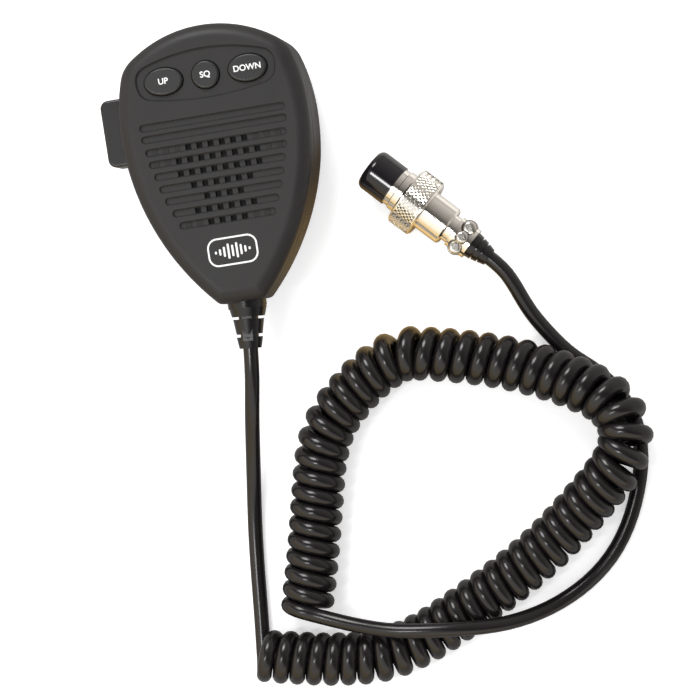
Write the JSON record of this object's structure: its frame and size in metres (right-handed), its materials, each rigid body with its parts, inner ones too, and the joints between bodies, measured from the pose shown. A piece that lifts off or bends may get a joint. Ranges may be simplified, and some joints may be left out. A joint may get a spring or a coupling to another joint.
{
  "type": "hand microphone",
  "caption": "Fist microphone lying on its back, with push-to-talk lever, three keys, slotted grille, curly lead and screw-ring plug under a dust cap.",
  "frame": {"origin": "centre of the outer face of the hanging stud on the microphone's back, which is also the surface it lies on", "axes": "+X to the microphone's right seen from the front, +Y towards its top, +Z out of the grille"},
  "size_m": [0.157, 0.2151, 0.0355],
  "materials": {
    "shell_black": "fine matt texture",
    "lever_black": "smooth",
    "key_black": "satin",
    "switch_black": "satin",
    "board_green": "solder mask",
    "cloth_black": "fine weave",
    "rubber_black": "smooth",
    "cord_black": "gloss PVC",
    "wire_mixed": "insulated wire",
    "nickel": "polished nickel",
    "steel": "zinc plated",
    "capsule_metal": "plain",
    "brass_pin": "plated",
    "insert_black": "phenolic"
  },
  "bodies": {
    "microphone": {"front_shell": "shell_black", "rear_shell": "shell_black", "case_screws": "steel", "hang_stud": "shell_black", "stud_screw": "steel", "tact_switches": "switch_black", "circuit_board": "board_green", "board_screws": "steel", "grille_cloth": "cloth_black", "capsule_boot": "rubber_black", "mic_capsule": "capsule_metal", "ptt_pivot_pin": "steel", "ptt_switch": "switch_black", "ptt_spring": "steel", "strain_relief": "rubber_black", "cord_stub": "cord_black", "cord_clamp": "steel", "clamp_screws": "steel", "lead_wires": "wire_mixed", "cord_lead": "cord_black", "cord_curl": "cord_black", "cord_tail": "cord_black", "plug_nose": "nickel", "plug_shell": "nickel", "plug_clamp": "nickel", "plug_clamp_screws": "nickel", "plug_insert": "insert_black", "plug_contacts": "brass_pin", "plug_boot": "rubber_black"},
    "lever": {"ptt_lever": "lever_black"},
    "switch_plunger": {"ptt_switch_plunger": "switch_black"},
    "up_key": {"key_up": "key_black", "tact_plunger_up": "switch_black"},
    "squelch_key": {"key_squelch": "key_black", "tact_plunger_squelch": "switch_black"},
    "down_key": {"key_down": "key_black", "tact_plunger_down": "switch_black"},
    "ring": {"coupling_ring": "nickel"},
    "cap": {"dust_cap": "rubber_black"}
  },
  "joints": [
    {"name": "ptt_press", "type": "hinge", "parent": "microphone", "child": "lever", "pos_m": [-0.024, -0.005, 0.0185], "axis": [0, 0, -1], "range_deg": [0, 7], "stiffness_Nm_per_rad": 0.6, "springref_deg": -5.73, "deforming": ["ptt_spring"]},
    {"name": "switch_travel", "type": "slide", "parent": "microphone", "child": "switch_plunger", "axis": [1, 0, 0], "range_m": [0, 0.0018]},
    {"name": "up_press", "type": "slide", "parent": "microphone", "child": "up_key", "axis": [0, 0, -1], "range_m": [0, 0.0008], "stiffness_N_per_m": 900, "springref_m": -0.0004},
    {"name": "squelch_press", "type": "slide", "parent": "microphone", "child": "squelch_key", "axis": [0, 0, -1], "range_m": [0, 0.0008], "stiffness_N_per_m": 900, "springref_m": -0.0004},
    {"name": "down_press", "type": "slide", "parent": "microphone", "child": "down_key", "axis": [0, 0, -1], "range_m": [0, 0.0008], "stiffness_N_per_m": 900, "springref_m": -0.0004},
    {"name": "ring_turn", "type": "hinge", "parent": "microphone", "child": "ring", "pos_m": [0.057, -0.0272, 0.0101], "axis": [-0.6947, 0.7193, 0], "continuous": true},
    {"name": "cap_pull", "type": "slide", "parent": "microphone", "child": "cap", "axis": [-0.6947, 0.7193, 0], "range_m": [0, 0.013]}
  ],
  "couplings": [
    {"joint": "switch_travel", "follows": "ptt_press", "m_per_rad": 0.013}
  ]
}
